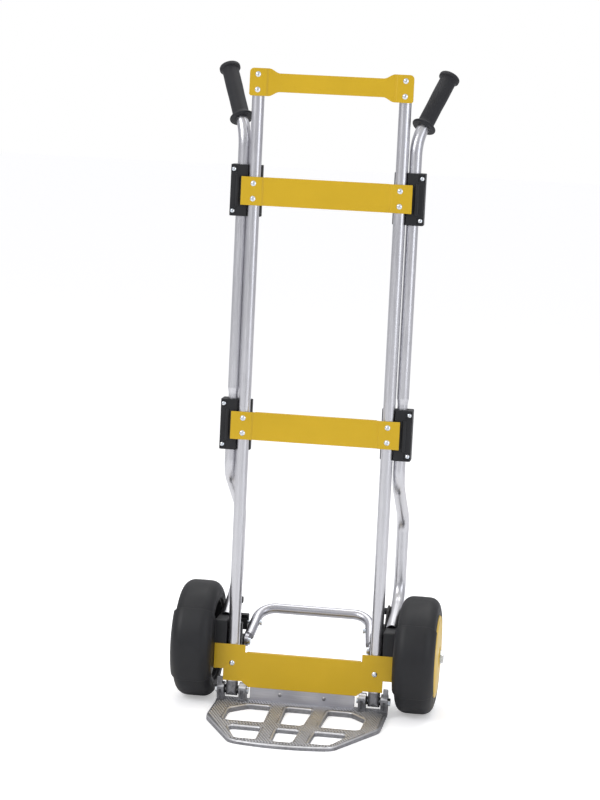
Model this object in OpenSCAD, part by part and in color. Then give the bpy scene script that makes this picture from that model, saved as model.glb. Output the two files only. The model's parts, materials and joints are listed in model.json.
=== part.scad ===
// Two-wheeled aluminium hand truck with a folding toe plate and a swinging rear bar.
// +Z is up, the front (toe plate side) faces -Y, left_ parts are at -X and right_ parts at +X.
// The origin is on the floor, in the middle of the overall width and depth.

/* [Uprights] */
// Distance between the centres of the two uprights
upright_spacing = 311; // [305:1:315]
// Height of the upper end of the uprights
upright_top = 1366; // [1362:1:1367]
// Outside diameter of the frame tubes
tube_d = 26; // [25.4:0.1:26]
// Wall thickness of the frame tubes
tube_wall = 1.8; // [1.5:0.1:2]

/* [Cross plates] */
// Sheet thickness of the four cross plates
plate_t = 2; // [1.5:0.1:2]
// Height of the upper and lower cross plates
plate_h = 60; // [56:1:62]
// Width of the upper and lower cross plates
plate_w = 363; // [356:1:366]
// Width of the top cross plate
top_plate_w = 346; // [340:1:350]
// Height of the middle of the top cross plate
top_band_h = 39; // [34:1:44]
// How far the middle of a joggled plate is set back
joggle = 3; // [2:0.5:3]

/* [Side tubes and clamps] */
// Distance from an upright's centre out to the side tube's centre
side_out = 26.5; // [26.3:0.1:27]
// Distance from an upright's centre back to the side tube's centre
side_back = 12; // [12:0.5:13]
// How far the leg tubes bow backwards
leg_bow = 157; // [150:1:157]
// Height of a clamp
clamp_h = 109; // [104:1:112]
// Height of the centre of the upper clamps and the upper cross plate
upper_z = 1113; // [1090:1:1120]
// Height of the centre of the lower clamps and the lower cross plate
lower_z = 613; // [608:1:620]
// Lean of the hand grips away from vertical, in degrees
grip_lean = 37.2; // [34:0.2:40]
// Direction of that lean, in degrees outwards from straight back
grip_heading = 32.6; // [28:0.2:36]
// Length of a hand grip
grip_len = 137; // [130:1:140]

/* [Wheels] */
// Outside diameter of the tyres
tyre_d = 254; // [250:1:254]
// Width of a tyre
tyre_w = 84; // [80:1:84]
// Distance from the centre plane to the middle of a tyre
wheel_x = 241; // [241:1:243]
// How far the axles lie behind the uprights
axle_back = 57; // [56:1:58]
// Diameter of the stub axles
axle_d = 17; // [16:0.5:17]

/* [Toe plate] */
// Reach of the toe plate in front of the uprights
toe_reach = 322; // [300:1:325]
// Width of the toe plate
toe_w = 372; // [368:1:372]
// Thickness of the toe plate at its hinge
toe_t = 12; // [11:0.5:12]
// Thickness of the toe plate at its front edge
toe_tip_t = 8; // [7:0.5:9]
// Height of the hinge pins above the floor
hinge_z = 32; // [32:0.5:33]

/* [Rear bar] */
// Outside diameter of the rear bar's tube
bar_d = 22; // [20:0.5:22]
// Distance from the rear bar's pivots to its cross piece
bar_reach = 109; // [104:1:110]
// Rise of the rear bar at rest, in degrees
bar_rise = 31.5; // [30:0.5:33]

/* [Hidden] */

$fn = 64;
eps = 0.01;
slip = 0.1; // radial gap of a bolt or tube held in a hole
run = 0.05; // radial gap of a shaft that turns
bend_step = 0.15; // how much thicker a tube's bends are than its straight runs
lap = 1; // how far joined shapes of one piece reach into each other
part_gap = 0.3; // gap between faces that lie against each other

aluminium = [0.78, 0.79, 0.80];
yellow = [0.86, 0.70, 0.14];
black = [0.11, 0.12, 0.13];
zinc = [0.83, 0.83, 0.81];
casting = [0.56, 0.56, 0.58];

// places, in front of (-) or behind (+) the plane of the uprights
tyre_r = tyre_d / 2;
tube_r = tube_d / 2;
tube_bore_r = tube_r - tube_wall;
upright_x = upright_spacing / 2;
side_x = upright_x + side_out;
frame_y = (toe_reach - axle_back - tyre_r) / 2;
plate_back = -tube_r;
plate_front = plate_back - plate_t;
foot_top = 52;

// screws through the plates
screw_pitch = 32.2;
screw_r = 3;
screw_head_r = 5.8;
screw_head_h = 2.6;
bottom_screw_z = 93.4;
top_plate_z = upright_top - 24.5;
top_plate_h = 58;
paired_z = [for (z = [lower_z, upper_z, top_plate_z], s = [-1, 1]) z + s * screw_pitch / 2];
screw_z = concat([bottom_screw_z], paired_z);

// clamps
clamp_front = -8;
clamp_rear = side_back + tube_r + 6;
clamp_out = side_x + 24;
clamp_split = side_back;
clamp_bolt_x = side_x + 17.7;
clamp_bolt_dz = clamp_h / 2 - 10.5;
clamp_bolt_r = 2.5;
clamp_pocket = 13;
clamp_pocket_depth = 2.5;
saddle_in = upright_x - 15.5;
saddle_rear = 22;
saddle_bolt_dz = 30;

// side tubes
leg_bore_r = tube_r - 2;
neck_r = leg_bore_r - slip;
neck_bore_r = neck_r - tube_wall;
leg_top = lower_z + clamp_h / 2 - 4;
neck_foot = lower_z - clamp_h / 2 + 4;
neck_z = leg_top + 15;
shoulder_z = neck_z + 12;
handle_bend_z = 1236;
handle_bend_r = 90;
grip_start = 33;
grip_r = 18;
grip_flange_r = 26;
grip_end_flange_r = 22.5;
grip_end = grip_start + grip_len;
leg_bend_r = 55;
leg_end = [45, 180];
leg_path = [
  [side_back, leg_top],
  [side_back, 505],
  [side_back + leg_bow, 405],
  [side_back + leg_bow, 228],
  leg_end,
];
leg_slope = atan2(leg_path[3][1] - leg_end[1], leg_path[3][0] - leg_end[0]);
knob_y = 112;
knob_z = leg_end[1] + (knob_y - leg_end[0]) * tan(leg_slope);

// wheels and their brackets
axle_z = tyre_r;
axle_r = axle_d / 2;
wheel_in = wheel_x - tyre_w / 2;
wheel_out = wheel_x + tyre_w / 2;
shoulder_r = 24;
rim_r = 90;
bearing_r = 20;
bearing_w = 12;
hub_in = wheel_in + 2;
hub_out = wheel_out;
cap_face = wheel_out + 1;
cap_nose = cap_face + 5;
cap_r = 89;
washer_t = 1.5;
nut_t = 5;
guard_gap = 1.2;
guard_t = 2.3;
guard_low = -33.5;
guard_high = 41.5;
guard_lip_r = tyre_r - 19;
guard_foot_r = 24;
bracket_in = side_x - 12;
bracket_out = wheel_in - guard_gap - guard_t + 1.5;
bracket_front = plate_back + 0.5;
bracket_rear = 84;
bracket_low = 76;
bracket_high = 186;
bracket_saddle_z = bracket_low + 55;
saddle_bolt_z = [for (z = [bracket_saddle_z, lower_z, upper_z], s = [-1, 1]) z + s * saddle_bolt_dz];

// toe plate hinge
pin_r = 5;
lug_r = 16;
lug_front = -13;
lug_rear = 12;
inner_lug = [123, 138.5];
outer_lug = [171.5, 186];
toe_rear = 12;
foot_r = tube_r;
flange_half = 114;
flange_top = 52;

// rear bar
bar_r = bar_d / 2;
bar_bore_r = bar_r - 1.6;
bar_pivot_x = 137;
bar_corner_x = 121.5;
bar_bend_r = 42;
bar_leg_start = 20;
eye_t = 8.6;
stop_at = 60;
stop_bolt_r = 4;
ear_x = [side_x - 18.5, side_x - 13.3];
boss_in = 142;
bar_splay = atan2(bar_pivot_x - bar_corner_x, bar_reach);
function bar_x(along) = bar_pivot_x - along * tan(bar_splay);

// ---- helpers ----

function unit(v) = v / norm(v);
function turn(a, b) = atan2(a[0] * b[1] - a[1] * b[0], a[0] * b[0] + a[1] * b[1]);
function left_of(d) = [-d[1], d[0]];

// Points of a polygon whose corners are rounded by the radius of each corner
function round_corner(before, at, after, r) =
  let (d1 = unit(at - before), d2 = unit(after - at), t = turn(d1, d2), cut = r * tan(abs(t) / 2),
       centre = at - d1 * cut + left_of(d1) * r * sign(t), from = at - d1 * cut - centre, steps = 6)
  [for (i = [0:steps]) let (a = t * i / steps)
    centre + [from[0] * cos(a) - from[1] * sin(a), from[0] * sin(a) + from[1] * cos(a)]];
function rounded(points, radii) =
  let (n = len(points))
  [for (i = [0:n - 1])
    each round_corner(points[(i + n - 1) % n], points[i], points[(i + 1) % n], radii[i])];
function mirrored(points) =
  concat(points, [for (i = [len(points) - 1:-1:0]) [-points[i][0], points[i][1]]]);

// Moves a child from the plane of the uprights to its place
module at_frame() translate([0, frame_y, 0]) children();

// Builds a child that is drawn at +X on the side asked for
module on_side(side) {
  if (side < 0) mirror([1, 0, 0]) children();
  else children();
}

module both_sides() {
  children();
  mirror([1, 0, 0]) children();
}

// Turns local x, y, z to the frame's Y, Z, X
module side_view() rotate([90, 0, 90]) children();

module rod_x(from, to, r, y = 0, z = 0)
  translate([from, y, z]) rotate([0, 90, 0]) cylinder(h = to - from, r = r);

module rod_y(from, to, r, x = 0, z = 0)
  translate([x, from, z]) rotate([-90, 0, 0]) cylinder(h = to - from, r = r);

module box(low, high) translate(low) cube(high - low);

module round_rect(low, high, r) {
  translate(low + [r, 0]) square([high[0] - low[0] - 2 * r, high[1] - low[1]]);
  translate(low + [0, r]) square([high[0] - low[0], high[1] - low[1] - 2 * r]);
  for (x = [low[0] + r, high[0] - r], y = [low[1] + r, high[1] - r])
    translate([x, y]) circle(r);
}

// A round bar along +X: straight runs with bends of one radius between them. The bends are a hair
// thicker than the straight runs, which reach a little way into them.
module runs(lengths, turns, bend, r, i = 0) {
  before = i > 0 ? lap : 0;
  after = i < len(turns) ? lap : 0;
  rod_x(-before, lengths[i] + after, r);
  if (i < len(turns)) {
    side = sign(turns[i]);
    sweep = abs(turns[i]);
    translate([lengths[i], side * bend, 0]) {
      rotate(side > 0 ? -90 : 90 - sweep) rotate_extrude(angle = sweep)
        translate([bend, 0]) circle(r + bend_step);
      rotate(turns[i]) translate([0, -side * bend, 0]) runs(lengths, turns, bend, r, i + 1);
    }
  }
}

// The same along a flat path of points, past either end of it by the length asked for
module bent_rod(points, bend, r, past = 0) {
  n = len(points);
  dirs = [for (i = [0:n - 2]) unit(points[i + 1] - points[i])];
  turns = [for (i = [1:n - 2]) turn(dirs[i - 1], dirs[i])];
  cuts = concat([-past], [for (t = turns) bend * tan(abs(t) / 2)], [-past]);
  lengths = [for (i = [0:n - 2]) norm(points[i + 1] - points[i]) - cuts[i] - cuts[i + 1]];
  translate(points[0] - dirs[0] * past) rotate(atan2(dirs[0][1], dirs[0][0])) runs(lengths, turns, bend, r);
}

module bent_tube(points, bend, r, bore) difference() {
  bent_rod(points, bend, r);
  bent_rod(points, bend, bore, 1);
}

// ---- uprights and cross plates ----

module upright(side) color(aluminium) at_frame() on_side(side) difference() {
  translate([upright_x, 0, foot_top]) cylinder(h = upright_top - foot_top, r = tube_r);
  translate([upright_x, 0, foot_top - eps])
    cylinder(h = upright_top - foot_top + 2 * eps, r = tube_bore_r);
  for (z = screw_z) rod_y(-tube_r - 1, -tube_r / 2, screw_r + slip, upright_x, z);
  for (z = saddle_bolt_z) rod_y(tube_r / 2, tube_r + 1, screw_r + slip, upright_x, z);
}

module upright_caps() color(black) at_frame() both_sides() translate([upright_x, 0, upright_top]) {
  cylinder(h = 3, r = tube_r);
  translate([0, 0, -4.5]) cylinder(h = 4.5 + lap, r = tube_bore_r - slip);
}

// Holes for the plate screws at one height
module screw_holes(z)
  both_sides() rod_y(plate_front - 1, plate_back + 1, screw_r + slip, upright_x, z);

// Cross-section of a plate whose middle is set back between the uprights
module joggled_section(width) {
  bend_x = upright_x - tube_r - 8.5;
  line = [[width / 2, plate_front], [bend_x + joggle, plate_front], [bend_x, plate_front + joggle]];
  front = mirrored(line);
  back = [for (i = [len(front) - 1:-1:0]) front[i] + [0, plate_t]];
  polygon(concat(front, back));
}

// Folded-back edge along the top or the bottom of the middle of a plate
module edge_fold(half, z, depth) {
  y = plate_front + joggle;
  box([-half, y, z], [half, y + depth, z + plate_t]);
}

module cross_plate(z) color(yellow) at_frame() difference() {
  half = upright_x - tube_r - 12;
  union() {
    translate([0, 0, z - plate_h / 2]) linear_extrude(plate_h) joggled_section(plate_w);
    edge_fold(half, z + plate_h / 2 - plate_t, 9);
    edge_fold(half, z - plate_h / 2, 9);
  }
  for (s = [-1, 1]) screw_holes(z + s * screw_pitch / 2);
}

// Outline of the top plate: full height at its ends, eased down to a narrower band
module top_outline() {
  end_x = top_plate_w / 2;
  pad = 40;
  ease = 24;
  corner = 9;
  rise = (top_plate_h - top_band_h) / 2;
  curve = [for (i = [0:8]) let (t = i / 8)
    [end_x - pad - ease * t, top_plate_h / 2 - rise * (1 - cos(180 * t)) / 2]];
  arc = [for (a = [0:15:90]) [end_x - corner + corner * cos(a), top_plate_h / 2 - corner + corner * sin(a)]];
  lower = [for (p = curve) [p[0], -p[1]]];
  foot = [[end_x, -top_plate_h / 2 + 3], [end_x - 3, -top_plate_h / 2]];
  right = concat([for (i = [len(lower) - 1:-1:0]) lower[i]], [foot[1], foot[0]], arc, curve);
  polygon(mirrored(right));
}

module top_plate() color(yellow) at_frame() difference() {
  union() {
    intersection() {
      translate([0, 0, top_plate_z - top_plate_h]) linear_extrude(2 * top_plate_h) joggled_section(top_plate_w);
      translate([0, 0, top_plate_z]) rotate([90, 0, 0])
        linear_extrude(60, center = true) top_outline();
    }
    edge_fold(106, top_plate_z + top_band_h / 2 - plate_t, 12);
    edge_fold(106, top_plate_z - top_band_h / 2, 12);
  }
  for (s = [-1, 1]) screw_holes(top_plate_z + s * screw_pitch / 2);
}

module bottom_plate() color(yellow) at_frame() {
  tab_end = wheel_in - guard_gap - guard_t - part_gap;
  right = [
    [118, 43], [133, 54.5], [174, 54.5], [174, 80], [tab_end, 80],
    [tab_end, 135], [127, 135], [127, 119],
  ];
  difference() {
    translate([0, plate_back, 0]) rotate([90, 0, 0]) linear_extrude(plate_t) polygon(mirrored(right));
    screw_holes(bottom_screw_z);
  }
  box([-124, plate_front, 119 - plate_t], [124, plate_front + 11, 119]);
}

// Pan-head screw pointing to +Y, its head's underside on y = 0, with a cross recess
module pan_screw(r, head_r, head_h, length) {
  recess = head_r * 0.55;
  dome_r = head_r * 1.35;
  rod_y(-head_h / 4, length, r);
  difference() {
    intersection() {
      rod_y(-head_h, 0, head_r);
      translate([0, dome_r - head_h, 0]) sphere(dome_r);
    }
    for (a = [0, 90]) rotate([0, a + 20, 0])
      box([-recess, -head_h - 1, -0.7], [recess, -head_h + 1.4, 0.7]);
  }
}

module plate_screws() color(zinc) at_frame() both_sides()
  for (z = screw_z) translate([upright_x, plate_front, z])
    pan_screw(screw_r, screw_head_r, screw_head_h, plate_t + 6);

// ---- clamps ----

module clamp_outer() round_rect([upright_x + tube_r, clamp_front], [clamp_out, clamp_rear], 5);

module clamp_saddle() round_rect([saddle_in, 2], [side_x - 6, saddle_rear], 4);

module clamp_bores() {
  translate([upright_x, 0]) circle(tube_r + slip);
  translate([side_x, side_back]) circle(tube_r + slip);
}

module bolt_pair(z) for (s = [-1, 1]) translate([0, 0, z + s * clamp_bolt_dz]) children();

module saddle_pair(z) for (s = [-1, 1]) translate([0, 0, z + s * saddle_bolt_dz]) children();

// Rear shell, which wraps the back of the upright and of the side tube
module clamp(side, z) color(black) at_frame() on_side(side) difference() {
  translate([0, 0, z - clamp_h / 2]) linear_extrude(clamp_h) difference() {
    union() {
      clamp_saddle();
      intersection() {
        clamp_outer();
        translate([upright_x, clamp_split + part_gap / 2]) square(clamp_h);
      }
    }
    clamp_bores();
  }
  bolt_pair(z) rod_y(clamp_split, clamp_rear + 1, clamp_bolt_r + slip, clamp_bolt_x);
  saddle_pair(z) rod_y(0, saddle_rear + 1, screw_r + slip, upright_x);
}

// Front shell with a half-round rib between its two bolt pockets
module clamp_cover(side, z) color(black) at_frame() on_side(side) difference() {
  rib_x = side_x + 8.5;
  rib_half = clamp_bolt_dz - clamp_pocket / 2 - 4;
  union() {
    translate([0, 0, z - clamp_h / 2]) linear_extrude(clamp_h) difference() {
      intersection() {
        clamp_outer();
        translate([upright_x + tube_r, clamp_front]) square([clamp_h, clamp_split - clamp_front - part_gap / 2]);
      }
      clamp_bores();
      clamp_saddle_clearance();
    }
    translate([rib_x, clamp_front + 2.5, z]) cylinder(h = 2 * rib_half, r = 6, center = true);
  }
  bolt_pair(z) {
    rod_y(clamp_front - 1, clamp_split + 1, clamp_bolt_r + slip, clamp_bolt_x);
    translate([clamp_bolt_x - 1.5, clamp_front + clamp_pocket_depth / 2, 0])
      cube([clamp_pocket, clamp_pocket_depth + eps, clamp_pocket], center = true);
  }
}

// Keeps the cover off the saddle where the two meet beside the upright
module clamp_saddle_clearance()
  translate([saddle_in, 2 - part_gap]) square([side_x - 6 + part_gap - saddle_in, saddle_rear]);

module clamp_hardware() at_frame() both_sides()
  for (z = [lower_z, upper_z]) bolt_pair(z) translate([clamp_bolt_x, 0, 0]) children();

module clamp_bolts() color(zinc) clamp_hardware()
  translate([0, clamp_front + clamp_pocket_depth, 0])
    pan_screw(clamp_bolt_r, 4.6, 2.8, clamp_rear + 5 - clamp_front - clamp_pocket_depth);

module clamp_nuts() color(zinc) clamp_hardware() difference() {
  rotate([-90, 0, 0]) translate([0, 0, clamp_rear]) cylinder(h = 4, r = 4.6, $fn = 6);
  rod_y(clamp_rear - 1, clamp_rear + 5, clamp_bolt_r + slip);
}

module saddle_bolts() color(zinc) at_frame() both_sides()
  for (z = saddle_bolt_z) translate([upright_x, saddle_rear, z])
    rotate(180) pan_screw(screw_r, 5.2, 3, saddle_rear - 7);

// ---- handle tubes, grips and leg tubes ----

// Puts a flat path, drawn as distance out and height, on the line of a handle
module handle_plane() translate([side_x, side_back, 0]) rotate([90, 0, 90 - grip_heading]) children();

handle_dir = [sin(grip_lean), cos(grip_lean)];
handle_top = [0, handle_bend_z] + handle_dir * (grip_end - 9);

// Upper tube of one side: bent at the grip and drawn down to plug into the leg tube
module handle_tube(side) color(aluminium) at_frame() on_side(side) handle_plane() difference() {
  path = [[0, shoulder_z], [0, handle_bend_z], handle_top];
  union() {
    bent_rod(path, handle_bend_r, tube_r);
    rotate([-90, 0, 0]) rotate_extrude() neck_section(neck_r, tube_r, neck_foot);
  }
  bent_rod(path, handle_bend_r, tube_bore_r, 1);
  rotate([-90, 0, 0]) rotate_extrude() neck_section(neck_bore_r, tube_bore_r, neck_foot - 1);
}

// Half section of the drawn-down end, from its foot up into the full tube
module neck_section(r, full_r, foot) polygon([
  [0, foot], [r, foot], [r, neck_z],
  [full_r - bend_step, shoulder_z], [full_r - bend_step, shoulder_z + lap], [0, shoulder_z + lap],
]);

// Half section of a grip: radius against distance from its lower flange
module grip_section() difference() {
  union() {
    square([grip_r, grip_len - 4]);
    intersection() {
      union() {
        round_rect([-grip_flange_r, 0], [grip_flange_r, 6], 2.9);
        round_rect([-grip_end_flange_r, grip_len - 9], [grip_end_flange_r, grip_len], 4);
      }
      square([grip_flange_r, grip_len]);
    }
  }
  translate([-1, -1]) square([tube_r + slip + 1, grip_len - 7]);
}

module grip(side) color(black) at_frame() on_side(side) handle_plane()
  translate([0, handle_bend_z]) rotate(-grip_lean) translate([0, grip_start, 0])
    rotate([-90, 0, 0]) rotate_extrude() grip_section();

module on_leg() translate([side_x, 0, 0]) side_view() children();

// Lower tube of one side: bows back from the clamp and returns to the wheel bracket
module leg_tube(side) color(aluminium) at_frame() on_side(side) difference() {
  on_leg() bent_tube(leg_path, leg_bend_r, tube_r, leg_bore_r);
  rod_x(side_x - tube_r - 1, side_x + tube_r + 1, screw_r + slip, knob_y, knob_z);
}

module leg_tube_knobs() color(black) at_frame() both_sides() {
  rod_x(ear_x[0] - 6, ear_x[0], 7.5, knob_y, knob_z);
  rod_x(ear_x[0] - eps, side_x + tube_r - 2, screw_r, knob_y, knob_z);
}

// ---- wheel brackets and axles ----

// A ring sector about the axle, as degrees above the level line to the front
module about_axle(low, high)
  translate([0, axle_back, axle_z]) side_view() rotate(180 - high)
    rotate_extrude(angle = high - low) children();

// Cross-section of the tyre's outer end grown by a gap or a thickness
module tyre_band(grow) round_rect(
  [-tyre_r, wheel_in - grow], [tyre_r + grow, wheel_out + grow], shoulder_r + grow);

// Wheel guard: a shell over the front of the tyre, closed on the bracket's side
module guard() about_axle(guard_low, guard_high) intersection() {
  difference() {
    tyre_band(guard_gap + guard_t);
    tyre_band(guard_gap);
  }
  union() {
    translate([guard_lip_r, 0]) square([tyre_r, 2 * wheel_x]);
    translate([guard_foot_r, 0]) square([tyre_r, wheel_in]);
  }
}

module bracket_ear() translate([ear_x[0], 0, 0]) side_view() linear_extrude(ear_x[1] - ear_x[0])
  polygon(rounded(
    [[66, 120], [126, 143], [136, 208], [118, 219], [92, 210], [66, bracket_high]],
    [4, 8, 8, 8, 8, 4]));

module wheel_bracket(side) color(black) at_frame() on_side(side) difference() {
  union() {
    translate([bracket_in, 0, 0]) side_view() linear_extrude(bracket_out - bracket_in)
      polygon(rounded(
        [[bracket_front, bracket_low + 22], [12, bracket_low], [bracket_rear, bracket_low + 16],
         [bracket_rear, bracket_high], [bracket_front, bracket_high]],
        [6, 10, 14, 5, 4]));
    translate([0, 0, bracket_low + 14]) linear_extrude(bracket_high - bracket_low - 22)
      round_rect([saddle_in, 2], [bracket_in + 6, saddle_rear], 4);
    rod_x(boss_in, bracket_in + lap, 16, axle_back, axle_z);
    box([ear_x[0], 60, axle_z + 5], [bracket_in + lap, bracket_rear - 4, bracket_high - 6]);
    bracket_ear();
    guard();
  }
  translate([upright_x, 0, 0]) cylinder(h = 2 * bracket_high, r = tube_r + slip);
  on_leg() bent_rod(leg_path, leg_bend_r, tube_r + slip);
  rod_x(boss_in - 1, boss_in + 17, pin_r + slip, axle_back, axle_z);
  rod_x(bracket_in - 9, bracket_out + 3, axle_r + slip, axle_back, axle_z);
  rod_x(ear_x[0] - 1, ear_x[1] + 1, screw_r + slip, knob_y, knob_z);
  saddle_pair(bracket_saddle_z) rod_y(0, saddle_rear + 1, screw_r + slip, upright_x);
}

module stub_axle(side) color(zinc) at_frame() on_side(side) {
  rod_x(bracket_in - 8.9, cap_nose + washer_t + nut_t + 1, axle_r, axle_back, axle_z);
  rod_x(bracket_out + 2.6, hub_in - part_gap, axle_r + 4, axle_back, axle_z);
}

module axle_washers() color(zinc) at_frame() both_sides() difference() {
  rod_x(cap_nose + 0.5, cap_nose + 0.5 + washer_t, 15, axle_back, axle_z);
  rod_x(cap_nose, cap_nose + 4, axle_r + slip, axle_back, axle_z);
}

module axle_nuts() color(zinc) at_frame() both_sides() difference() {
  from = cap_nose + 0.5 + washer_t;
  translate([from, axle_back, axle_z]) rotate([0, 90, 0]) cylinder(h = nut_t, r = 13.3, $fn = 6);
  rod_x(from - 1, from + nut_t + 1, axle_r + slip, axle_back, axle_z);
}

// ---- wheels ----

// Turns a half section, drawn as radius against X, about the axle of one wheel
module wheel_solid(side) at_frame() on_side(side)
  translate([0, axle_back, axle_z]) side_view() rotate_extrude() children();

module tyre(side) color(black) wheel_solid(side) intersection() {
  round_rect([tyre_r - 60, wheel_in], [tyre_r, wheel_out], shoulder_r);
  translate([rim_r, wheel_in]) square([tyre_r, tyre_w]);
}

module rim(side) color(black) wheel_solid(side) {
  translate([rim_r - 5, wheel_in + 7]) square([5, tyre_w - 14]);
  translate([bearing_r + 6, wheel_x - 4]) square([rim_r - bearing_r - 10, 8]);
  difference() {
    translate([12, hub_in]) square([bearing_r - 5, hub_out - hub_in]);
    for (x = [hub_in, hub_out - bearing_w]) translate([0, x]) square([bearing_r, bearing_w]);
    translate([0, hub_in]) square([13, hub_out - hub_in]);
  }
}

module hub_cap(side) color(yellow) wheel_solid(side) polygon([
  [cap_r - 3, wheel_out - 6], [cap_r, wheel_out - 6], [cap_r, cap_face - 1], [cap_r - 1, cap_face],
  [18, cap_nose - 1], [17, cap_nose], [axle_r + 1.5, cap_nose], [axle_r + 1.5, cap_nose - 3],
  [17, cap_nose - 4], [cap_r - 3, cap_face - 3],
]);

module bearings(side) color(zinc) wheel_solid(side)
  for (x = [hub_in, hub_out - bearing_w])
    translate([axle_r + run, x]) square([bearing_r - axle_r - run, bearing_w]);

module bearing_spacer(side) color(zinc) wheel_solid(side)
  translate([axle_r + 0.5, hub_in + bearing_w]) square([3, hub_out - hub_in - 2 * bearing_w]);

// ---- toe plate and its hinges ----

module hinge_foot(side) color(casting) at_frame() on_side(side) difference() {
  translate([upright_x, 0, 0]) union() {
    translate([0, 0, hinge_z]) cylinder(h = foot_top - hinge_z, r = foot_r);
    translate([0, 0, foot_top - eps]) cylinder(h = 32, r = tube_bore_r - slip);
    intersection() {
      translate([0, 0, hinge_z - foot_r]) cylinder(h = foot_r + eps, r = foot_r);
      rod_x(-foot_r, foot_r, foot_r, 0, hinge_z);
    }
  }
  rod_x(upright_x - foot_r - 1, upright_x + foot_r + 1, pin_r + slip, 0, hinge_z);
}

module hinge_pin(side) color(zinc) at_frame() on_side(side) {
  rod_x(inner_lug[0] - part_gap - 4, inner_lug[0] - part_gap, 8, 0, hinge_z);
  rod_x(inner_lug[0] - part_gap - eps, outer_lug[1] + 5.5, pin_r, 0, hinge_z);
}

module hinge_nuts() color(black) at_frame() both_sides() difference() {
  translate([outer_lug[1] + part_gap, 0, hinge_z]) rotate([0, 90, 0]) cylinder(h = 5, r = 8.5, $fn = 6);
  rod_x(outer_lug[1], outer_lug[1] + 6, pin_r + slip, 0, hinge_z);
}

module hinge_washers() color(black) at_frame() both_sides()
  for (span = [[inner_lug[1] + part_gap, upright_x - foot_r - slip],
               [upright_x + foot_r + slip, outer_lug[0] - part_gap]])
    difference() {
      rod_x(span[0], span[1], 9, 0, hinge_z);
      rod_x(span[0] - 1, span[1] + 1, pin_r + slip, 0, hinge_z);
    }

module toe_outline() {
  half = toe_w / 2;
  bow = 12;
  tip = 106;
  straight = 140;
  front = -toe_reach + bow;
  corners = rounded(
    [[0, toe_rear], [half, toe_rear], [half, -straight], [tip, front], [0, front]],
    [0, 3, 70, 30, 0]);
  polygon(mirrored([for (p = corners) if (p[0] > eps) p]));
  // the front edge is a shallow arc between the two tips
  arc_half = tip - 12;
  arc_r = (arc_half * arc_half + bow * bow) / (2 * bow);
  intersection() {
    translate([0, arc_r - toe_reach]) circle(arc_r, $fn = 128);
    translate([-arc_half, -toe_reach - 1]) square([2 * arc_half, 60]);
  }
}

module toe_windows() {
  rear = -36;
  cross = [-165, -203];
  front = -toe_reach + 34;
  // centre of a forward rib, which leans in towards the front
  function rib_x(y) = 46 - (rear - y) * 0.032;
  half_rib = 17;
  both_sides() {
    polygon(rounded([
      [rib_x(rear) + half_rib, rear], [rib_x(cross[0]) + half_rib, cross[0]],
      [145, cross[0]], [147, -76], [112, rear],
    ], [8, 8, 14, 22, 14]));
    polygon(rounded([
      [rib_x(cross[1]) + half_rib, cross[1]], [rib_x(front) + half_rib, front],
      [98, front], [124, cross[1] - 12], [118, cross[1]],
    ], [6, 6, 12, 8, 6]));
  }
  for (span = [[cross[0], rear, 8], [front - 4, cross[1], 6]])
    polygon(rounded(
      mirrored([[rib_x(span[0]) - half_rib, span[0]], [rib_x(span[1]) - half_rib, span[1]]]),
      [for (i = [0:3]) span[2]]));
}

// Side view of the toe plate: a wedge with a heel rounded about the hinge pin
module toe_side() {
  intersection() {
    polygon([[-toe_reach - 5, 0], [toe_rear, 0], [toe_rear, toe_t], [-40, toe_t], [-toe_reach - 5, toe_tip_t]]);
    union() {
      translate([0, hinge_z]) circle(hinge_z, $fn = 128);
      translate([-toe_reach - 5, 0]) square([toe_reach + 5, toe_t]);
    }
  }
}

module toe_lug(span, horn) {
  groove = 5;
  difference() {
    union() {
      rod_x(span[0], span[1], lug_r, 0, hinge_z);
      box([span[0], lug_front, toe_t - 2], [span[1], lug_rear, hinge_z]);
      if (horn) translate([span[1] - 10, 0, 0]) side_view() linear_extrude(10)
        polygon(rounded([[lug_front, hinge_z], [0, hinge_z], [2, 56], [-5, 61], [-9, 61], [lug_front, 50]],
                        [0.1, 0.1, 3, 2, 2, 3]));
    }
    box([span[0] + 4.5, lug_front - 4, toe_t + 2], [span[1] - 4.5, lug_front + groove, hinge_z + 2]);
    rod_x(span[0] - 1, span[1] + 1, pin_r + run, 0, hinge_z);
  }
}

module toe_plate() color(casting) at_frame() difference() {
  union() {
    intersection() {
      translate([-toe_w, 0, 0]) side_view() linear_extrude(2 * toe_w) toe_side();
      linear_extrude(2 * toe_t) difference() {
        toe_outline();
        toe_windows();
      }
    }
    both_sides() {
      toe_lug(inner_lug, false);
      toe_lug(outer_lug, true);
    }
    box([-flange_half, -6, toe_t - 1], [flange_half, -1, 38]);
  }
  for (s = [-1, 1]) rod_y(-10, 2, 2.5 + slip, s * 48, 29);
}

module toe_back_flange() color(aluminium) at_frame() difference() {
  box([-flange_half, -8.5, toe_t], [flange_half, -6, flange_top]);
  for (s = [-1, 1]) rod_y(-10, 2, 2.5 + slip, s * 48, 29);
}

module flange_rivets() color(casting) at_frame() both_sides() translate([48, 0, 29]) {
  rod_y(-8.5, -1, 2.5);
  rod_y(-1, 0.5, 4);
  intersection() {
    rod_y(-10.5, -8.5, 4.5);
    translate([0, -4.5, 0]) sphere(6);
  }
}

// ---- rear bar ----

// Tilts a child drawn flat about the pivots to the bar's rest position
module bar_plane() translate([0, axle_back, axle_z]) rotate([bar_rise, 0, 0]) children();

module rear_bar() color(aluminium) at_frame() bar_plane() difference() {
  right = [[bar_x(bar_leg_start), bar_leg_start], [bar_corner_x, bar_reach]];
  bent_tube(mirrored(right), bar_bend_r, bar_r, bar_bore_r);
  both_sides() rod_x(bar_x(stop_at) - 20, bar_x(stop_at) + 20, stop_bolt_r + slip, stop_at);
}

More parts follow.
